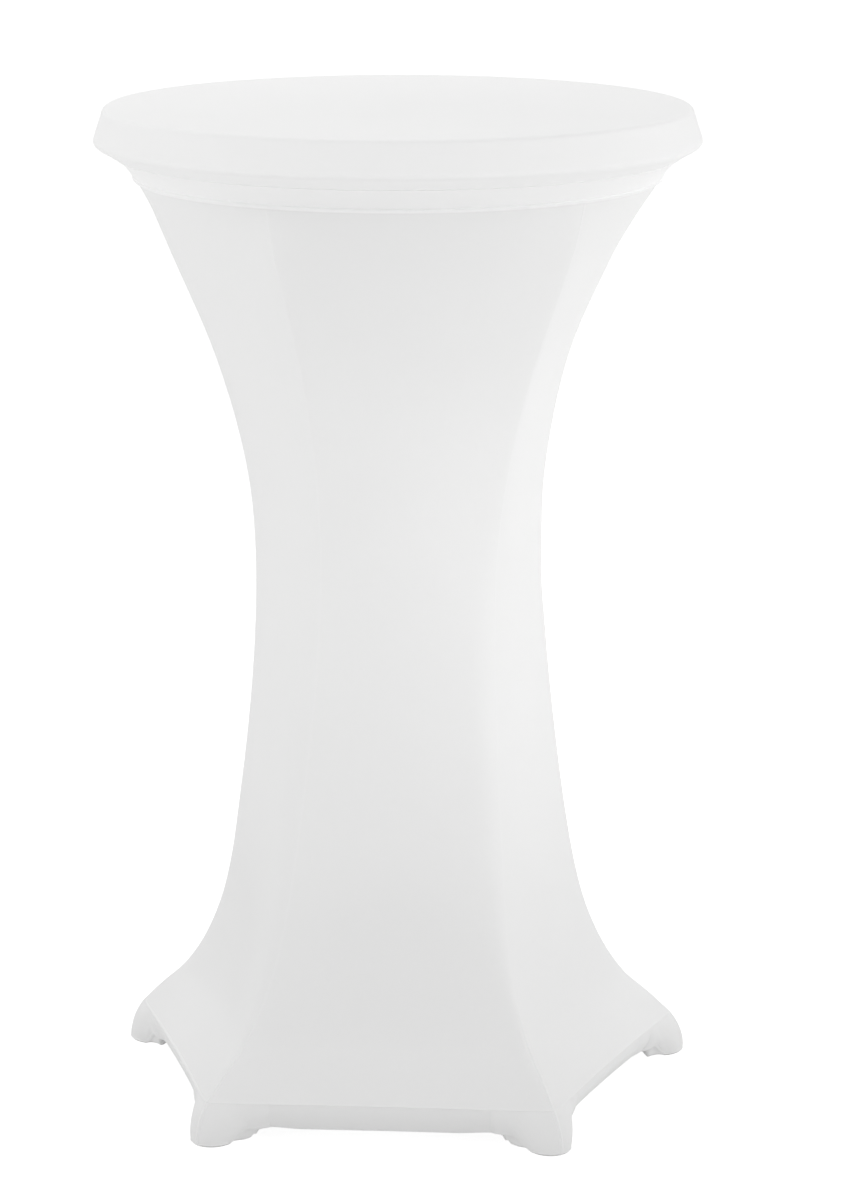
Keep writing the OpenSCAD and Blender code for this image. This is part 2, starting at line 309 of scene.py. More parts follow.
# columns of knitted loops, read from the flat cloth in metres
def knitGroup():
    group, given, out = nodeGroup(
        "stretchKnit",
        [("Cloth", "NodeSocketVector", None), ("Place", "NodeSocketVector", None),
         ("Wale", "NodeSocketFloat", 0.0009), ("Course", "NodeSocketFloat", 0.0007),
         ("Pale", "NodeSocketColor", (0.9, 0.9, 0.9, 1)),
         ("Shade", "NodeSocketColor", (0.85, 0.85, 0.85, 1))],
        [("Colour", "NodeSocketColor"), ("Roughness", "NodeSocketFloat"), ("Height", "NodeSocketFloat")])
    split = group.nodes.new("ShaderNodeSeparateXYZ")
    group.links.new(given.outputs["Cloth"], split.inputs[0])
    wale = mathNode(group, "DIVIDE", split.outputs["X"], given.outputs["Wale"])
    course = mathNode(group, "DIVIDE", split.outputs["Y"], given.outputs["Course"])
    across = mathNode(group, "ABSOLUTE", mathNode(group, "SUBTRACT", mathNode(group, "FRACT", wale), 0.5))
    slanted = mathNode(group, "ADD", course, across)
    loop = mathNode(group, "SINE", mathNode(group, "MULTIPLY", slanted, 2 * math.pi))
    ridge = mathNode(group, "COSINE", mathNode(group, "MULTIPLY", wale, 2 * math.pi))
    loops = mathNode(group, "MULTIPLY", loop, 0.3)
    knit = mathNode(group, "ADD", loops, mathNode(group, "MULTIPLY", ridge, -0.2))
    height = mathNode(group, "ADD", knit, 0.5)
    broad = noiseNode(group, given.outputs["Place"], 7, 2)
    fine = noiseNode(group, given.outputs["Place"], 160, 4, 0.7)
    tone = mathNode(group, "MULTIPLY_ADD", fine, 0.35, mathNode(group, "MULTIPLY", broad, 0.4))
    tone = mathNode(group, "MULTIPLY_ADD", height, 0.25, tone)
    colour = mixColour(group, tone, given.outputs["Shade"], given.outputs["Pale"])
    group.links.new(colour, out.inputs["Colour"])
    rough = mathNode(group, "MULTIPLY_ADD", fine, 0.12, 0.78)
    group.links.new(rough, out.inputs["Roughness"])
    group.links.new(height, out.inputs["Height"])
    return group


# two rows of stitches that run along a seam strip
def stitchGroup():
    group, given, out = nodeGroup(
        "seamStitches",
        [("Cloth", "NodeSocketVector", None), ("Stitch", "NodeSocketFloat", 0.0026),
         ("Width", "NodeSocketFloat", 0.0032)],
        [("Mask", "NodeSocketFloat"), ("Height", "NodeSocketFloat")])
    split = group.nodes.new("ShaderNodeSeparateXYZ")
    group.links.new(given.outputs["Cloth"], split.inputs[0])
    along = mathNode(group, "DIVIDE", split.outputs["Y"], given.outputs["Stitch"])
    dash = mathNode(group, "SINE", mathNode(group, "MULTIPLY", along, 2 * math.pi))
    rows = mathNode(group, "DIVIDE", split.outputs["X"], given.outputs["Width"])
    row = mathNode(group, "COSINE", mathNode(group, "MULTIPLY", rows, 4 * math.pi))
    dash = mathNode(group, "MAXIMUM", dash, 0.0)
    both = mathNode(group, "MULTIPLY", dash, mathNode(group, "MAXIMUM", row, 0.0))
    group.links.new(mathNode(group, "SMOOTH_MIN", both, 1.0, 0.2), out.inputs["Mask"])
    group.links.new(both, out.inputs["Height"])
    return group


# fine grain and broad unevenness for coated and moulded surfaces
def speckGroup():
    group, given, out = nodeGroup(
        "surfaceGrain",
        [("Place", "NodeSocketVector", None), ("Grain", "NodeSocketFloat", 900.0),
         ("Pale", "NodeSocketColor", (0.5, 0.5, 0.5, 1)), ("Shade", "NodeSocketColor", (0.4, 0.4, 0.4, 1)),
         ("Rough", "NodeSocketFloat", 0.5)],
        [("Colour", "NodeSocketColor"), ("Roughness", "NodeSocketFloat"), ("Height", "NodeSocketFloat")])
    grain = noiseNode(group, given.outputs["Place"], given.outputs["Grain"], 3, 0.6)
    broad = noiseNode(group, given.outputs["Place"], 14, 4, 0.6)
    tone = mathNode(group, "MULTIPLY_ADD", grain, 0.5, mathNode(group, "MULTIPLY", broad, 0.5))
    colour = mixColour(group, tone, given.outputs["Shade"], given.outputs["Pale"])
    group.links.new(colour, out.inputs["Colour"])
    smoothest = mathNode(group, "SUBTRACT", given.outputs["Rough"], 0.1)
    rough = mathNode(group, "MULTIPLY_ADD", broad, 0.2, smoothest)
    group.links.new(rough, out.inputs["Roughness"])
    group.links.new(grain, out.inputs["Height"])
    return group


def startMaterial(name):
    material = bpy.data.materials.new(name)
    material.use_nodes = True
    tree = material.node_tree
    shader = tree.nodes["Principled BSDF"]
    return material, tree, shader, tree.nodes.new("ShaderNodeTexCoord")


def placeGroup(tree, group, values):
    node = tree.nodes.new("ShaderNodeGroup")
    node.node_tree = group
    for label, value in values.items():
        if hasattr(value, "is_output"):
            tree.links.new(value, node.inputs[label])
        else:
            node.inputs[label].default_value = value
    return node


def addBump(tree, shader, height, strength, distance):
    bump = tree.nodes.new("ShaderNodeBump")
    bump.inputs["Strength"].default_value = strength
    bump.inputs["Distance"].default_value = distance
    tree.links.new(height, bump.inputs["Height"])
    tree.links.new(bump.outputs["Normal"], shader.inputs["Normal"])


knit = knitGroup()
stitches = stitchGroup()
grain = speckGroup()


# uneven upper edge of the painted shade along the sole's bottom
soleShadePatches = {"scale": 220, "depth": 0.003}


def knitMaterial(name, pale, shade, sheen, strength=0.35, paintedSoleShade=None):
    # the last argument holds the colour of a painted shade along the sole's bottom, standing in for the
    # contact shadow, the height it starts at and the height where it is full
    material, tree, shader, at = startMaterial(name)
    cloth = placeGroup(tree, knit, {"Cloth": at.outputs["UV"], "Place": at.outputs["Object"],
                                    "Pale": (*pale, 1), "Shade": (*shade, 1)})
    colour = cloth.outputs["Colour"]
    if paintedSoleShade:
        soleShadeColour, starts, full = paintedSoleShade
        split = tree.nodes.new("ShaderNodeSeparateXYZ")
        tree.links.new(at.outputs["Object"], split.inputs[0])
        patches = noiseNode(tree, at.outputs["Object"], soleShadePatches["scale"], 3)
        wave = mathNode(tree, "MULTIPLY_ADD", patches, soleShadePatches["depth"], split.outputs["Z"])
        low = tree.nodes.new("ShaderNodeMapRange")
        low.interpolation_type = "SMOOTHSTEP"
        tree.links.new(wave, low.inputs["Value"])
        low.inputs["From Min"].default_value = starts
        low.inputs["From Max"].default_value = full
        # painted shade: darker towards the bottom of the sole, in place of its contact shadow
        colour = mixColour(tree, low.outputs["Result"], colour, (*soleShadeColour, 1))
    tree.links.new(colour, shader.inputs["Base Color"])
    tree.links.new(cloth.outputs["Roughness"], shader.inputs["Roughness"])
    shader.inputs["Sheen Weight"].default_value = sheen
    shader.inputs["Sheen Roughness"].default_value = 0.45
    shader.inputs["Specular IOR Level"].default_value = 0.25
    addBump(tree, shader, cloth.outputs["Height"], strength, 0.00025)
    return material


def seamMaterial(name, pale, shade, strength=0.6):
    material, tree, shader, at = startMaterial(name)
    cloth = placeGroup(tree, knit, {"Cloth": at.outputs["UV"], "Place": at.outputs["Object"],
                                    "Pale": (*pale, 1), "Shade": (*shade, 1)})
    thread = placeGroup(tree, stitches, {"Cloth": at.outputs["UV"]})
    colour = mixColour(tree, thread.outputs["Mask"], cloth.outputs["Colour"], (*pale, 1))
    tree.links.new(colour, shader.inputs["Base Color"])
    tree.links.new(cloth.outputs["Roughness"], shader.inputs["Roughness"])
    shader.inputs["Sheen Weight"].default_value = 0.1
    shader.inputs["Specular IOR Level"].default_value = 0.25
    height = mathNode(tree, "MULTIPLY_ADD", cloth.outputs["Height"], 0.3, thread.outputs["Height"])
    addBump(tree, shader, height, strength, 0.0004)
    return material


def grainMaterial(name, pale, shade, rough, grainScale, metallic=0.0, bump=0.15, depth=0.0002):
    material, tree, shader, at = startMaterial(name)
    coat = placeGroup(tree, grain, {"Place": at.outputs["Object"], "Grain": grainScale,
                                    "Pale": (*pale, 1), "Shade": (*shade, 1), "Rough": rough})
    tree.links.new(coat.outputs["Colour"], shader.inputs["Base Color"])
    tree.links.new(coat.outputs["Roughness"], shader.inputs["Roughness"])
    shader.inputs["Metallic"].default_value = metallic
    addBump(tree, shader, coat.outputs["Height"], bump, depth)
    return material


coverKnit = knitMaterial("coverKnit", (0.93, 0.93, 0.928), (0.885, 0.885, 0.882), 0.08)
# the toe pockets get painted shade along the sole's bottom, standing in for the contact shadow on the floor
toeKnit = knitMaterial("toeKnit", (0.93, 0.93, 0.928), (0.885, 0.885, 0.882), 0.08,
                       paintedSoleShade=((0.66, 0.66, 0.65), 0.0062, 0.0026))
# painted light: the topper and collar knits are lighter copies of the cover's knit, to brighten the topper
# and the shaded collar under its rim
topperKnit = knitMaterial("topperKnit", (0.965, 0.965, 0.963), (0.925, 0.925, 0.923), 0.08)
collarKnit = knitMaterial("collarKnit", (0.98, 0.98, 0.978), (0.95, 0.95, 0.948), 0.08)
seamKnit = seamMaterial("seamKnit", (0.96, 0.96, 0.96), (0.91, 0.91, 0.91))
# painted highlight: the trim knit is lighter than the cover's so the collar seam and topper hem show as
# bright ridges
trimKnit = seamMaterial("trimKnit", (0.97, 0.97, 0.97), (0.94, 0.94, 0.94), 0.2)
sideSeamKnit = seamMaterial("sideSeamKnit", (0.935, 0.935, 0.933), (0.888, 0.888, 0.885), 0.25)
powderCoat = grainMaterial("powderCoat", (0.060, 0.061, 0.063), (0.035, 0.036, 0.038), 0.48, 1400, 0.0, 0.3)
castArm = grainMaterial("castArm", (0.075, 0.076, 0.078), (0.045, 0.046, 0.048), 0.55, 600, 0.0, 0.35)
zincPlate = grainMaterial("zincPlate", (0.70, 0.71, 0.72), (0.55, 0.56, 0.58), 0.34, 500, 1.0, 0.08)
blackNylon = grainMaterial("blackNylon", (0.045, 0.045, 0.046), (0.028, 0.028, 0.029), 0.5, 800, 0.0, 0.15)
resinBoard = grainMaterial("resinBoard", (0.80, 0.80, 0.785), (0.70, 0.70, 0.685), 0.42, 300, 0.0, 0.1)
print("materials made")


panelCloth = {
    "thickness": 0.0009,
    "columns": 56,
    "rows": 170,
    "rowPower": 1.2,  # rows lie closer together near the hem
    "edgeEase": 0.72,  # columns lie closer together near the seams
    "lengthSteps": 240,
    "pucker": 0.0007,
    "puckerWidth": 0.0018,
    "topStarts": 0.009,  # below the collar seam
    "topSpan": 0.006,
}
seamStrip = {
    "halfWidth": 0.0021,
    "height": 0.0009,
    "columns": 10,
    "rows": 170,
    "sink": 0.00006,
    "thickness": 0.0008,
    "middleShare": 0.1,  # how far it stands out half way up, near a foot and near the collar
    "footShare": 1.0,
    "collarShare": 0.3,
    "footEnds": 0.06,
    "footSpan": 0.11,
    "collarStarts": 0.96,
    "collarSpan": 0.09,
}


def easeEdges(u, pull):
    return u - pull * math.sin(2 * math.pi * u) / (2 * math.pi)


def rowHeight(v):
    return hemSeamZ + (collarSeamZ - hemSeamZ) * v ** panelCloth["rowPower"]


def nearTop(z):
    return smooth((z - collarSeamZ + panelCloth["topStarts"]) / panelCloth["topSpan"])


clothSteps = panelCloth["lengthSteps"]
clothLengths = [0.0]
seamPoint = coverPoint(firstFoot + seamTurn(hemSeamZ), hemSeamZ)
for step in range(1, clothSteps + 1):
    z = rowHeight(step / clothSteps)
    nextPoint = coverPoint(firstFoot + seamTurn(z), z)
    clothLengths.append(clothLengths[-1] + (nextPoint - seamPoint).length)
    seamPoint = nextPoint


def lengthUp(v):
    place = v * clothSteps
    n = min(int(place), clothSteps - 1)
    return clothLengths[n] + (clothLengths[n + 1] - clothLengths[n]) * (place - n)


def sidePanel(k):
    def place(u, v):
        u = easeEdges(u, panelCloth["edgeEase"])
        z = rowHeight(v)
        angle = firstFoot + sector * (k + u) + seamTurn(z)
        point = coverPoint(angle, z)
        width = math.radians(sector) * alongStations(z, 1)
        edge = min(u, 1 - u) * width / panelCloth["puckerWidth"]
        pucker = panelCloth["pucker"] * math.exp(-edge * edge) * nearTop(z)
        return point - coverNormal(angle, z) * pucker, (width * (u - 0.5), lengthUp(v))

    bm = clothGrid(panelCloth["columns"], panelCloth["rows"], place)
    return thicken(finishMesh(bm, f"sidePanel{k + 1}", coverKnit), panelCloth["thickness"])


# the seams stand out most near the feet and under the collar
def seamHeight(z):
    share = seamStrip["middleShare"]
    share += seamStrip["footShare"] * (1 - smooth((z - seamStrip["footEnds"]) / seamStrip["footSpan"]))
    share += seamStrip["collarShare"] * smooth((z - seamStrip["collarStarts"]) / seamStrip["collarSpan"])
    return seamStrip["height"] * share * (1 - nearTop(z))


def sideSeam(k):
    def place(u, v):
        z = rowHeight(v)
        side = (2 * u - 1) * seamStrip["halfWidth"]
        angle = firstFoot + sector * k + seamTurn(z)
        there = angle + math.degrees(side / alongStations(z, 1))
        crown = (1 - (2 * u - 1) ** 2) ** 2 * (seamHeight(z) + seamStrip["sink"]) - seamStrip["sink"]
        flat = (side + seamStrip["halfWidth"], lengthUp(v))
        return coverPoint(there, z) + coverNormal(there, z) * crown, flat

    bm = clothGrid(seamStrip["columns"], seamStrip["rows"], place)
    return thicken(finishMesh(bm, f"sideSeam{k + 1}", sideSeamKnit), seamStrip["thickness"])


for k in range(feet):
    panel = sidePanel(k)
    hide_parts(f"panel_{k + 1}")
    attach(panel, mainBody)
    seam = sideSeam(k)
    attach(seam, mainBody)
print("side panels sewn")


hemCloth = {
    "columns": 48,
    "bulge": 0.0016,
    "crown": 0.0080,
    "turnUnder": 0.006,
    "foldR": 0.0032,
    "lean": 0.0100,
    "lift": [0.003, 0.003, -0.002, 0.003, 0.003],  # how each band's edge is stretched up or down
    "liftShare": 0.14,
    "height": 0.045,
    "thickness": 0.0009,
}
skirtRows = {"wall": 20, "fold": 10, "inside": 3}
toeCloth = {
    "columns": 88,
    "flatHalf": 0.085,  # from the toe seam to the mouth on the flat cloth
    "thickness": 0.0009,
    "roundEnds": 0.3,  # share of the reach that is as round as the toe
    "reach": 11.25,  # degrees from the toe seam to the pocket's mouth
    "tipR": 0.3515,
    "halfWidth": 0.024,
    "share": 0.625,
    "bulge": 0.0042,
    "soleRound": 0.0060,
    "soleShare": 0.93,
    "heelStarts": 0.835,  # behind the glide
    "soleColumns": 24,
    "seamShare": 0.70,
    "liftStarts": 0.08,  # share of the mouth after which the edge rises to the hem's
    "lift": 0.46,
}
trimSink = 0.0001  # how deep the edges of a trim lie in the cloth
toeTrim = {"columns": 10, "rows": 40, "half": 0.0025, "crown": 0.0017, "length": 0.06, "thickness": 0.0008}
soleTrim = {
    "columns": 6,
    "rows": 80,
    "turn": 0.22,  # how far round the fold it lies, of a quarter turn
    "halfTurn": 0.09,
    "crown": 0.0008,
    "half": 0.0016,
    "length": 0.1,
    "thickness": 0.0005,
}
hemTrim = {
    "columns": 8,
    "rows": 720,
    "half": 0.0018,
    "crown": 0.0008,
    "slope": 0.00088,  # the panel slopes away above the seam
    "clothHalf": 0.0016,
    "length": 1.96,
    "thickness": 0.0008,
}


def footTurn(k):
    return Matrix.Rotation(math.radians(firstFoot + sector * k), 4, "Z")


# the hem seam, in a foot's own frame: x out along the foot, y across it
def hemTop(degrees):
    return polar(coverR(firstFoot + degrees, hemSeamZ), degrees, hemSeamZ)


def toeWeight(a):
    return 1 - smooth((a - toeCloth["roundEnds"]) / (1 - toeCloth["roundEnds"]))


# from the hem seam down the wall (climb 1 to 0), round the fold (turn), and up inside
def skirtPoint(low, high, out, weight, climb, turn=0.0, inside=0.0):
    r = hemCloth["foldR"] + (toeCloth["soleRound"] - hemCloth["foldR"]) * weight
    t = 1 - climb
    push = toeCloth["bulge"] * 4 * climb * t * weight
    push += (hemCloth["bulge"] * math.sin(math.pi * t) + hemCloth["crown"] * t * climb) * (1 - weight)
    push -= r * (1 - math.cos(turn))
    rise = r * t - r * math.sin(turn) + inside
    return low.lerp(high, climb) + out * push + Vector((0, 0, rise))


# splits v into the wall, the fold and the turned-in part of a hem
def skirtRow(v, rows):
    total = rows["wall"] + rows["fold"] + rows["inside"]
    place = v * total
    climb = min(max((place - rows["fold"] - rows["inside"]) / rows["wall"], 0), 1)
    folded = min(max((place - rows["inside"]) / rows["fold"], 0), 1)
    return climb, 1 - folded, (1 - min(place / rows["inside"], 1)) if rows["inside"] else 0


def hemBand(k):
    reach = toeCloth["reach"]
    out = polar(1, sector / 2, 0)

    def place(u, v):
        high = hemTop(reach + (sector - 2 * reach) * u)
        low = high - out * hemCloth["lean"]
        low.z = hemEdgeZ + hemCloth["lift"][k] * smooth(min(u, 1 - u) / hemCloth["liftShare"])
        climb, folded, inside = skirtRow(v, skirtRows)
        point = skirtPoint(low, high, out, 0, climb, math.pi * folded, inside * hemCloth["turnUnder"])
        return footTurn(k) @ point, ((point - hemTop(sector / 2)).cross(out).z, v * hemCloth["height"])

    bm = clothGrid(hemCloth["columns"], sum(skirtRows.values()), place)
    return thicken(finishMesh(bm, f"hemBand{k + 1}", coverKnit), hemCloth["thickness"])


def mouthShare(a):
    share = toeCloth["share"]
    return min(max((a - share) / (1 - share), 0), 1)


def toeOut(a):
    turn = 90 * min(a / toeCloth["share"], 1) - (90 - sector / 2) * smooth(mouthShare(a))
    return polar(1, turn, 0)


def toeLow(a):
    half = toeCloth["halfWidth"]
    centre = Vector((toeCloth["tipR"] - half, 0, 0))
    if a <= toeCloth["share"]:
        return centre + half * toeOut(a)
    t = mouthShare(a)
    mouth = hemTop(toeCloth["reach"]) - hemCloth["lean"] * toeOut(1)
    return Vector((centre.x + (mouth.x - centre.x) * t, half + (mouth.y - half) * smooth(t),
                   hemEdgeZ * smooth((t - toeCloth["liftStarts"]) / toeCloth["lift"])))


def toeWall(a, climb, folded=0.0):
    high = hemTop(a * toeCloth["reach"])
    return skirtPoint(toeLow(a), high, toeOut(a), toeWeight(a), climb, math.pi / 2 * folded)


def toePocket(k):
    rows = {**skirtRows, "inside": 0}
    columns = toeCloth["columns"]
    soleColumns = round(columns / 2 * toeCloth["soleShare"])

    def wall(u, v):
        side = 1 if u >= 0.5 else -1
        a = abs(2 * u - 1)
        climb, folded, inside = skirtRow(v, rows)
        point = toeWall(a, climb, folded)
        point.y *= side
        return footTurn(k) @ point, (side * a * toeCloth["flatHalf"], point.z)

    def sole(u, v):
        a = v * soleColumns * 2 / columns
        point = toeWall(a, 0, 1)
        across = (2 * u - 1) * point.y
        heel = smooth((a - toeCloth["heelStarts"]) / (toeCloth["soleShare"] - toeCloth["heelStarts"]))
        cup = point.z * max(abs(2 * u - 1) ** 6, heel)  # flat under the glide, up to the edge round it
        return footTurn(k) @ Vector((point.x, across, cup)), (across, point.x)

    bm = clothGrid(columns, rows["wall"] + rows["fold"], wall)
    clothGrid(toeCloth["soleColumns"], soleColumns, sole, bm)
    bmesh.ops.remove_doubles(bm, verts=bm.verts, dist=2e-5)
    return thicken(finishMesh(bm, f"toePocket{k + 1}", toeKnit, recalc=True), toeCloth["thickness"])


def ridge(t, crown):
    # a rounded ridge across a trim, for t from -1 to 1
    return crown * (1 - t ** 2) ** 2 - trimSink


def toeSeam(k):
    def place(u, v):
        climb, folded, inside = skirtRow(v, {**skirtRows, "inside": 0})
        base = toeWall(0, climb, folded * 0.9)
        side = (2 * u - 1) * toeTrim["half"]
        crown = ridge(2 * u - 1, toeTrim["crown"] * (1 - folded))
        turn = math.pi / 2 * folded
        point = base + Vector((crown * math.cos(turn), side, -crown * math.sin(turn)))
        return footTurn(k) @ point, (side + toeTrim["half"], v * toeTrim["length"])

    bm = clothGrid(toeTrim["columns"], toeTrim["rows"], place)
    return thicken(finishMesh(bm, f"toeSeam{k + 1}", seamKnit), toeTrim["thickness"])


# a thin sewn line where the sole joins the pocket's wall
def soleSeam(k):
    def place(u, v):
        a = (2 * v - 1) * toeCloth["seamShare"]
        around = (2 * u - 1) * soleTrim["halfTurn"]
        base = toeWall(abs(a), 0, soleTrim["turn"] + around)
        turn = math.pi / 2 * soleTrim["turn"]
        away = toeOut(abs(a)) * math.cos(turn) - Vector((0, 0, math.sin(turn)))
        point = base + away * ridge(2 * u - 1, soleTrim["crown"])
        point.y *= 1 if a >= 0 else -1
        return footTurn(k) @ point, (around * 0.01 + soleTrim["half"], v * soleTrim["length"])

    bm = clothGrid(soleTrim["columns"], soleTrim["rows"], place)
    return thicken(finishMesh(bm, f"soleSeam{k + 1}", seamKnit, recalc=True), soleTrim["thickness"])


def hemSeam():
    def place(u, v):
        t = 2 * u - 1
        turn = 360 * v
        inSector = turn % sector
        out = (hemTop(inSector) - Vector((0, 0, hemSeamZ))).normalized()
        out = Matrix.Rotation(math.radians(firstFoot + turn - inSector), 3, "Z") @ out
        away = ridge(t, hemTrim["crown"]) - hemTrim["slope"] * max(-t, 0)
        point = coverPoint(firstFoot + turn, hemSeamZ) + out * away - Vector((0, 0, t * hemTrim["half"]))
        return point, (hemTrim["clothHalf"] * (t + 1), hemTrim["length"] * v)

    bm = clothGrid(hemTrim["columns"], hemTrim["rows"], place)
    bmesh.ops.remove_doubles(bm, verts=bm.verts, dist=1e-5)
    return thicken(finishMesh(bm, "hemSeam", sideSeamKnit, recalc=True), hemTrim["thickness"])


hemLine = hemSeam()
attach(hemLine, mainBody)
for k in range(feet):
    band = hemBand(k)
    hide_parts(f"hem_band_{k + 1}")
    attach(band, mainBody)
    pocket = toePocket(k)
    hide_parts(f"pocket_left_{k + 1}", f"pocket_right_{k + 1}")
    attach(pocket, mainBody)
    trims = [toeSeam(k), soleSeam(k)]
    for trim in trims:
        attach(trim, mainBody)
print("hem and toe pockets sewn")


topperShape = {
    "steps": 288,
    "outlineSteps": 5,
    "thickness": 0.0009,
    "flatRings": [0.0, 0.08, 0.16, 0.24, 0.30],
    "hemR": 0.3205,
    "hemZ": topZ - 0.0555,
    "gather": 0.00035,
    "gatherStarts": topZ - 0.044,
    "gatherSpan": 0.012,
}
topperCord = {
    "steps": 576,
    "r": topperShape["hemR"] - 0.0006,
    "z": topperShape["hemZ"] - 0.0001,
    "halfWidth": 0.00126,
    "halfHeight": 0.0009,
    "gather": 0.0002,
}


# outline of the rim from its flat top to the nose, inside the topper's by inset
def rimOutline(inset):
    r, z = rimR - inset, topZ - inset
    return [
        (r - 0.0175, z),
        (r - 0.0140, z - 0.0006),
        (r - 0.0112, z - 0.0028),
        (r - 0.0096, z - 0.0065),
        (r - 0.0070, z - 0.0150),
        (r - 0.0040, z - 0.0240),
        (r - 0.0012, z - 0.0325),
        (r - 0.0002, z - 0.0365),
    ]


# outline of the underside of the rim, from the nose inwards
def lipOutline(inset):
    return [
        (rimR - 0.0008 - inset, topZ - 0.0402),
        (rimR - 0.0040 - inset * 0.8, topZ - 0.0433 + inset * 0.6),
        (rimR - 0.0095 - inset * 0.6, topZ - 0.0462 + inset * 0.8),
        (rimR - 0.0170 - inset * 0.5, topZ - 0.0506 + inset * 0.9),
    ]


def clothOutline(flatRings, inset, joint, steps):
    # the flat top, then the rim and its underside down to the joint
    flat = [(r, topZ - inset) for r in flatRings]
    return flat + [tuple(p) for p in curveThrough(rimOutline(inset) + lipOutline(inset) + [joint], steps)]


def trimRing(shape):
    # the oval section of a rolled trim
    turns = [math.radians(a) for a in range(0, 361, 24)]
    return [(shape["r"] + shape["halfWidth"] * math.cos(a), shape["z"] + shape["halfHeight"] * math.sin(a))
            for a in turns]


def topper():
    hem = (topperShape["hemR"], topperShape["hemZ"])
    outline = clothOutline(topperShape["flatRings"], 0, hem, topperShape["outlineSteps"])

    def gathers(co):
        low = smooth((topperShape["gatherStarts"] - co.z) / topperShape["gatherSpan"])
        turn = math.atan2(co.y, co.x)
        wave = math.sin(61 * turn + 1.3 * math.sin(5 * turn)) + 0.6 * math.sin(97 * turn)
        return Vector((co.x, co.y, co.z + topperShape["gather"] * wave * low))

    bm = spinCloth(outline, topperShape["steps"], gathers)
    return thicken(finishMesh(bm, "topperCloth", topperKnit), topperShape["thickness"])


def topperHem():
    def gathers(co):
        turn = math.atan2(co.y, co.x)
        wave = math.sin(140 * turn + 2 * math.sin(7 * turn)) + 0.5 * math.sin(61 * turn)
        return Vector((co.x, co.y, co.z + topperCord["gather"] * wave))

    bm = spinCloth(trimRing(topperCord), topperCord["steps"], gathers)
    return finishMesh(bm, "topperHem", trimKnit, recalc=True)


collarShape = [
    (rimR - 0.0250, topZ - 0.0540),
    (rimR - 0.0290, topZ - 0.0572),
    (rimR - 0.0330, topZ - 0.0610),
    (rimR - 0.0372, topZ - 0.0655),
    (rimR - 0.0414, topZ - 0.0710),
    (rimR - 0.0448, topZ - 0.0765),
    (rimR - 0.0474, topZ - 0.0815),
    (rimR - 0.0486, collarSeamZ + 0.0008),
]


underTop = {
    "inset": 0.0016,
    "flatRings": [0.0, 0.1, 0.2, 0.3],
    "outlineSteps": 4,
    "steps": 240,
    "thickness": 0.0008,
}
collarCloth = {"outlineSteps": 4, "steps": 240, "thickness": 0.0009}
collarTrim = {
    "steps": 360,
    "r": alongStations(collarSeamZ, 1) + 0.0016,
    "z": collarSeamZ + 0.0038,
    "halfWidth": 0.0040,
    "halfHeight": 0.0026,
}


def coverTop():
    inset, steps = underTop["inset"], underTop["outlineSteps"]
    outline = clothOutline(underTop["flatRings"], inset, collarShape[0], steps)
    bm = spinCloth(outline, underTop["steps"])
    return thicken(finishMesh(bm, "coverTop", coverKnit), underTop["thickness"])


def collarBand():
    outline = [tuple(p) for p in curveThrough(collarShape, collarCloth["outlineSteps"])]
    bm = spinCloth(outline, collarCloth["steps"])
    return thicken(finishMesh(bm, "collarBand", collarKnit), collarCloth["thickness"])


def collarSeam():
    bm = spinCloth(trimRing(collarTrim), collarTrim["steps"])
    return finishMesh(bm, "collarSeam", trimKnit, recalc=True)


cap = topper()
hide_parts("top_cap")
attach(cap, topperBody)
capHem = topperHem()
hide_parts("cap_elastic")
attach(capHem, topperBody)
under = coverTop()
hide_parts("cover_top")
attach(under, mainBody)
collar = collarBand()
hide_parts("collar_band")
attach(collar, mainBody)
rolled = collarSeam()
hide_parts("collar_seam")
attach(rolled, mainBody)
print("topper, top and collar fitted")


frameFinish = {
    powderCoat: ["top_spider", "column_tube", "hub_plate_upper", "hub_plate_lower"],
    zincPlate: ["plate_screws", "tie_rod", "rod_washer", "rod_nut", "hub_bolts", "hub_nuts"],
    castArm: [f"arm_{k}" for k in range(1, feet + 1)],
    blackNylon: [f"glide_{k}" for k in range(1, feet + 1)],
    resinBoard: ["table_board"],
}
for finish, names in frameFinish.items():
    for name in names:
        node = frame["nodes"][name]
        node.data.materials.clear()
        node.data.materials.append(finish)
print("frame finished")


studio = {
    "floorSize": 60,
    "floorShade": (0.44, 0.44, 0.44, 1),
    "floorPale": (0.46, 0.46, 0.46, 1),
    "floorRoughness": 0.9,
    "farGlow": 0.567,  # light that the white floor gives back
    "nearGlow": 0.40,  # the same close to the feet
    "nearEnds": 0.5,
    "farStarts": 1.3,
    "floorSeen": 0.90,  # how white the camera sees it
    "skyLight": 0.49,
    "skySeen": 1.05,
    "softboxes": {  # place, aim, size, power
        "backSoftbox": ((-0.6, 1.8, 3.0), (0, 0, 1.15), (2.4, 1.6), 25),
        "frontSoftbox": ((0.2, -2.4, 3.4), (0, 0, 0.9), (2.6, 1.6), 25),
        "rightSoftbox": ((3.0, -0.6, 2.2), (0, 0, 0.9), (1.6, 1.6), 12),
        "leftSoftbox": ((-3.0, -0.6, 2.2), (0, 0, 0.9), (1.6, 1.6), 17),
        "rimSoftbox": ((2.4, 1.6, 1.4), (0, 0, 0.8), (1.4, 1.4), 11),
    },
    "spots": {  # place, aim, angle, power
        "rightSpot": ((2.4, -2.0, 0.8), (0.06, 0, 0.62), 16, 41),
        "sideSpot": ((2.6, -1.2, 0.8), (0.06, 0, 0.64), 22, 48),
        "leftSpot": ((-2.4, -1.6, 0.8), (-0.06, 0, 0.64), 22, 24),
    },
    "spotSoftness": 0.5,
}


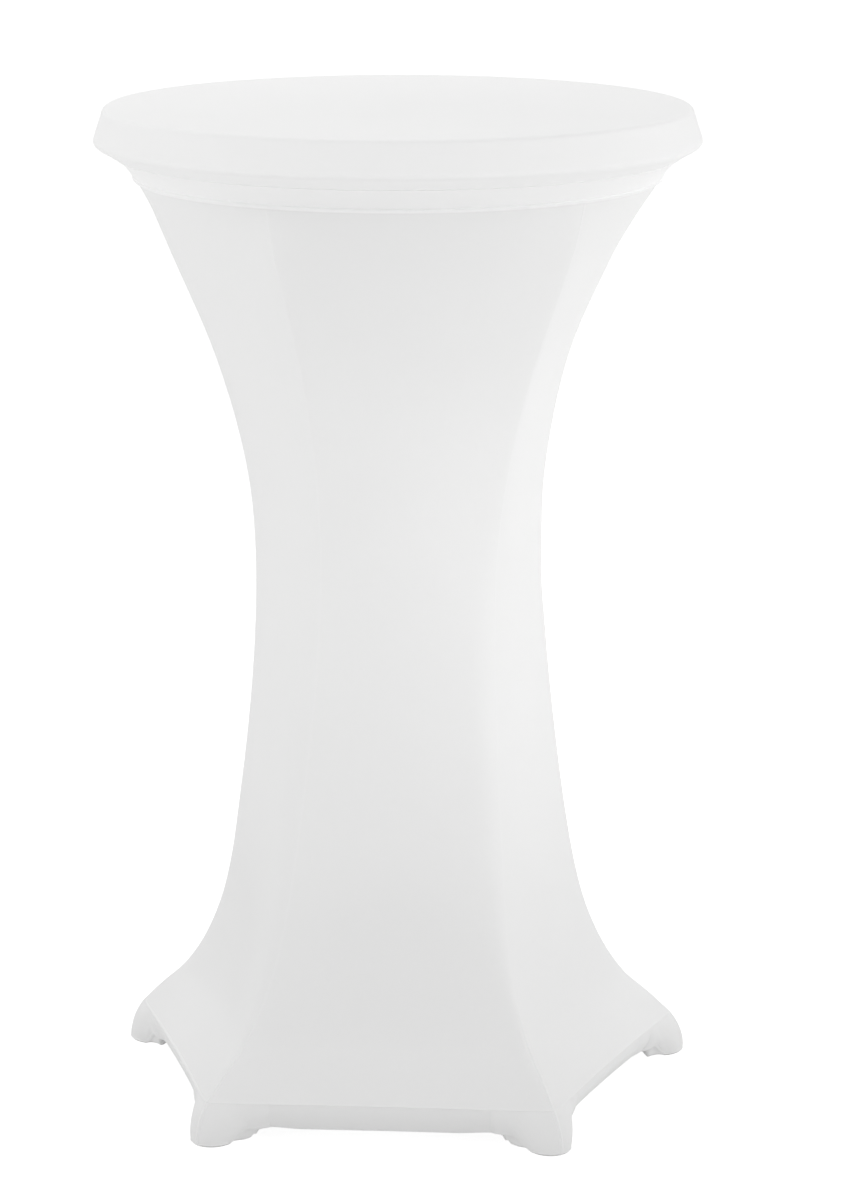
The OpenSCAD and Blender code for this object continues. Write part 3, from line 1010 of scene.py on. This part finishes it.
def plainFloor():
    bm = bmesh.new()
    bmesh.ops.create_grid(bm, x_segments=1, y_segments=1, size=studio["floorSize"] / 2)
    material, tree, shader, at = startMaterial("paleFloor")
    tint = noiseNode(tree, at.outputs["Object"], 2.5, 3)
    colour = mixColour(tree, tint, studio["floorShade"], studio["floorPale"])
    tree.links.new(colour, shader.inputs["Base Color"])
    shader.inputs["Roughness"].default_value = studio["floorRoughness"]
    shader.inputs["Emission Color"].default_value = (1, 1, 1, 1)
    path = tree.nodes.new("ShaderNodeLightPath")
    away = tree.nodes.new("ShaderNodeVectorMath")
    away.operation = "LENGTH"
    tree.links.new(at.outputs["Object"], away.inputs[0])
    spread = tree.nodes.new("ShaderNodeMapRange")
    spread.interpolation_type = "SMOOTHSTEP"
    tree.links.new(away.outputs["Value"], spread.inputs["Value"])
    for label, value in (("From Min", "nearEnds"), ("From Max", "farStarts"),
                         ("To Min", "nearGlow"), ("To Max", "farGlow")):
        spread.inputs[label].default_value = studio[value]
    white = mathNode(tree, "SUBTRACT", studio["floorSeen"], spread.outputs["Result"])
    glow = mathNode(tree, "MULTIPLY_ADD", path.outputs["Is Camera Ray"], white, spread.outputs["Result"])
    tree.links.new(glow, shader.inputs["Emission Strength"])
    finishMesh(bm, "studioFloor", material)


def placeLight(name, light, place, aim, power):
    light.energy = power
    lamp = bpy.data.objects.new(name, light)
    lamp.location = place
    lamp.rotation_euler = (Vector(aim) - Vector(place)).to_track_quat("-Z", "Y").to_euler()
    bpy.context.scene.collection.objects.link(lamp)


def softbox(name, place, aim, size, power):
    light = bpy.data.lights.new(name, "AREA")
    light.shape = "RECTANGLE"
    light.size, light.size_y = size
    placeLight(name, light, place, aim, power)


def spot(name, place, aim, angle, power):
    light = bpy.data.lights.new(name, "SPOT")
    light.spot_size = math.radians(angle)
    light.spot_blend = 1.0
    light.shadow_soft_size = studio["spotSoftness"]
    placeLight(name, light, place, aim, power)


def whiteSky():
    world = bpy.data.worlds.new("studioSky")
    world.use_nodes = True
    tree = world.node_tree
    tree.nodes.clear()
    seen, lit = tree.nodes.new("ShaderNodeBackground"), tree.nodes.new("ShaderNodeBackground")
    seen.inputs["Strength"].default_value = studio["skySeen"]
    lit.inputs["Strength"].default_value = studio["skyLight"]
    for sky in (seen, lit):
        sky.inputs["Color"].default_value = (1, 1, 1, 1)
    path, mix = tree.nodes.new("ShaderNodeLightPath"), tree.nodes.new("ShaderNodeMixShader")
    out = tree.nodes.new("ShaderNodeOutputWorld")
    tree.links.new(path.outputs["Is Camera Ray"], mix.inputs[0])
    tree.links.new(lit.outputs[0], mix.inputs[1])
    tree.links.new(seen.outputs[0], mix.inputs[2])
    tree.links.new(mix.outputs[0], out.inputs[0])
    bpy.context.scene.world = world


plainFloor()
whiteSky()
for name, (place, aim, size, power) in studio["softboxes"].items():
    softbox(name, place, aim, size, power)
for name, (place, aim, angle, power) in studio["spots"].items():
    spot(name, place, aim, angle, power)

cameraShape = {
    "place": (0.4036, -5.0158, 1.7126),
    "pitch": 77.257,
    "turn": 4.303,
    "lens": 133.14,
    "sensor": 36,
    "clipEnd": 60,
}
view = bpy.data.cameras.new("tableView")
view.lens = cameraShape["lens"]
view.sensor_width = cameraShape["sensor"]
view.clip_end = cameraShape["clipEnd"]
camera = bpy.data.objects.new("tableView", view)
camera.location = cameraShape["place"]
camera.rotation_euler = (math.radians(cameraShape["pitch"]), 0, math.radians(cameraShape["turn"]))
bpy.context.scene.collection.objects.link(camera)
bpy.context.scene.camera = camera
bpy.context.scene.view_settings.view_transform = "Standard"
print("stage, light and camera set")
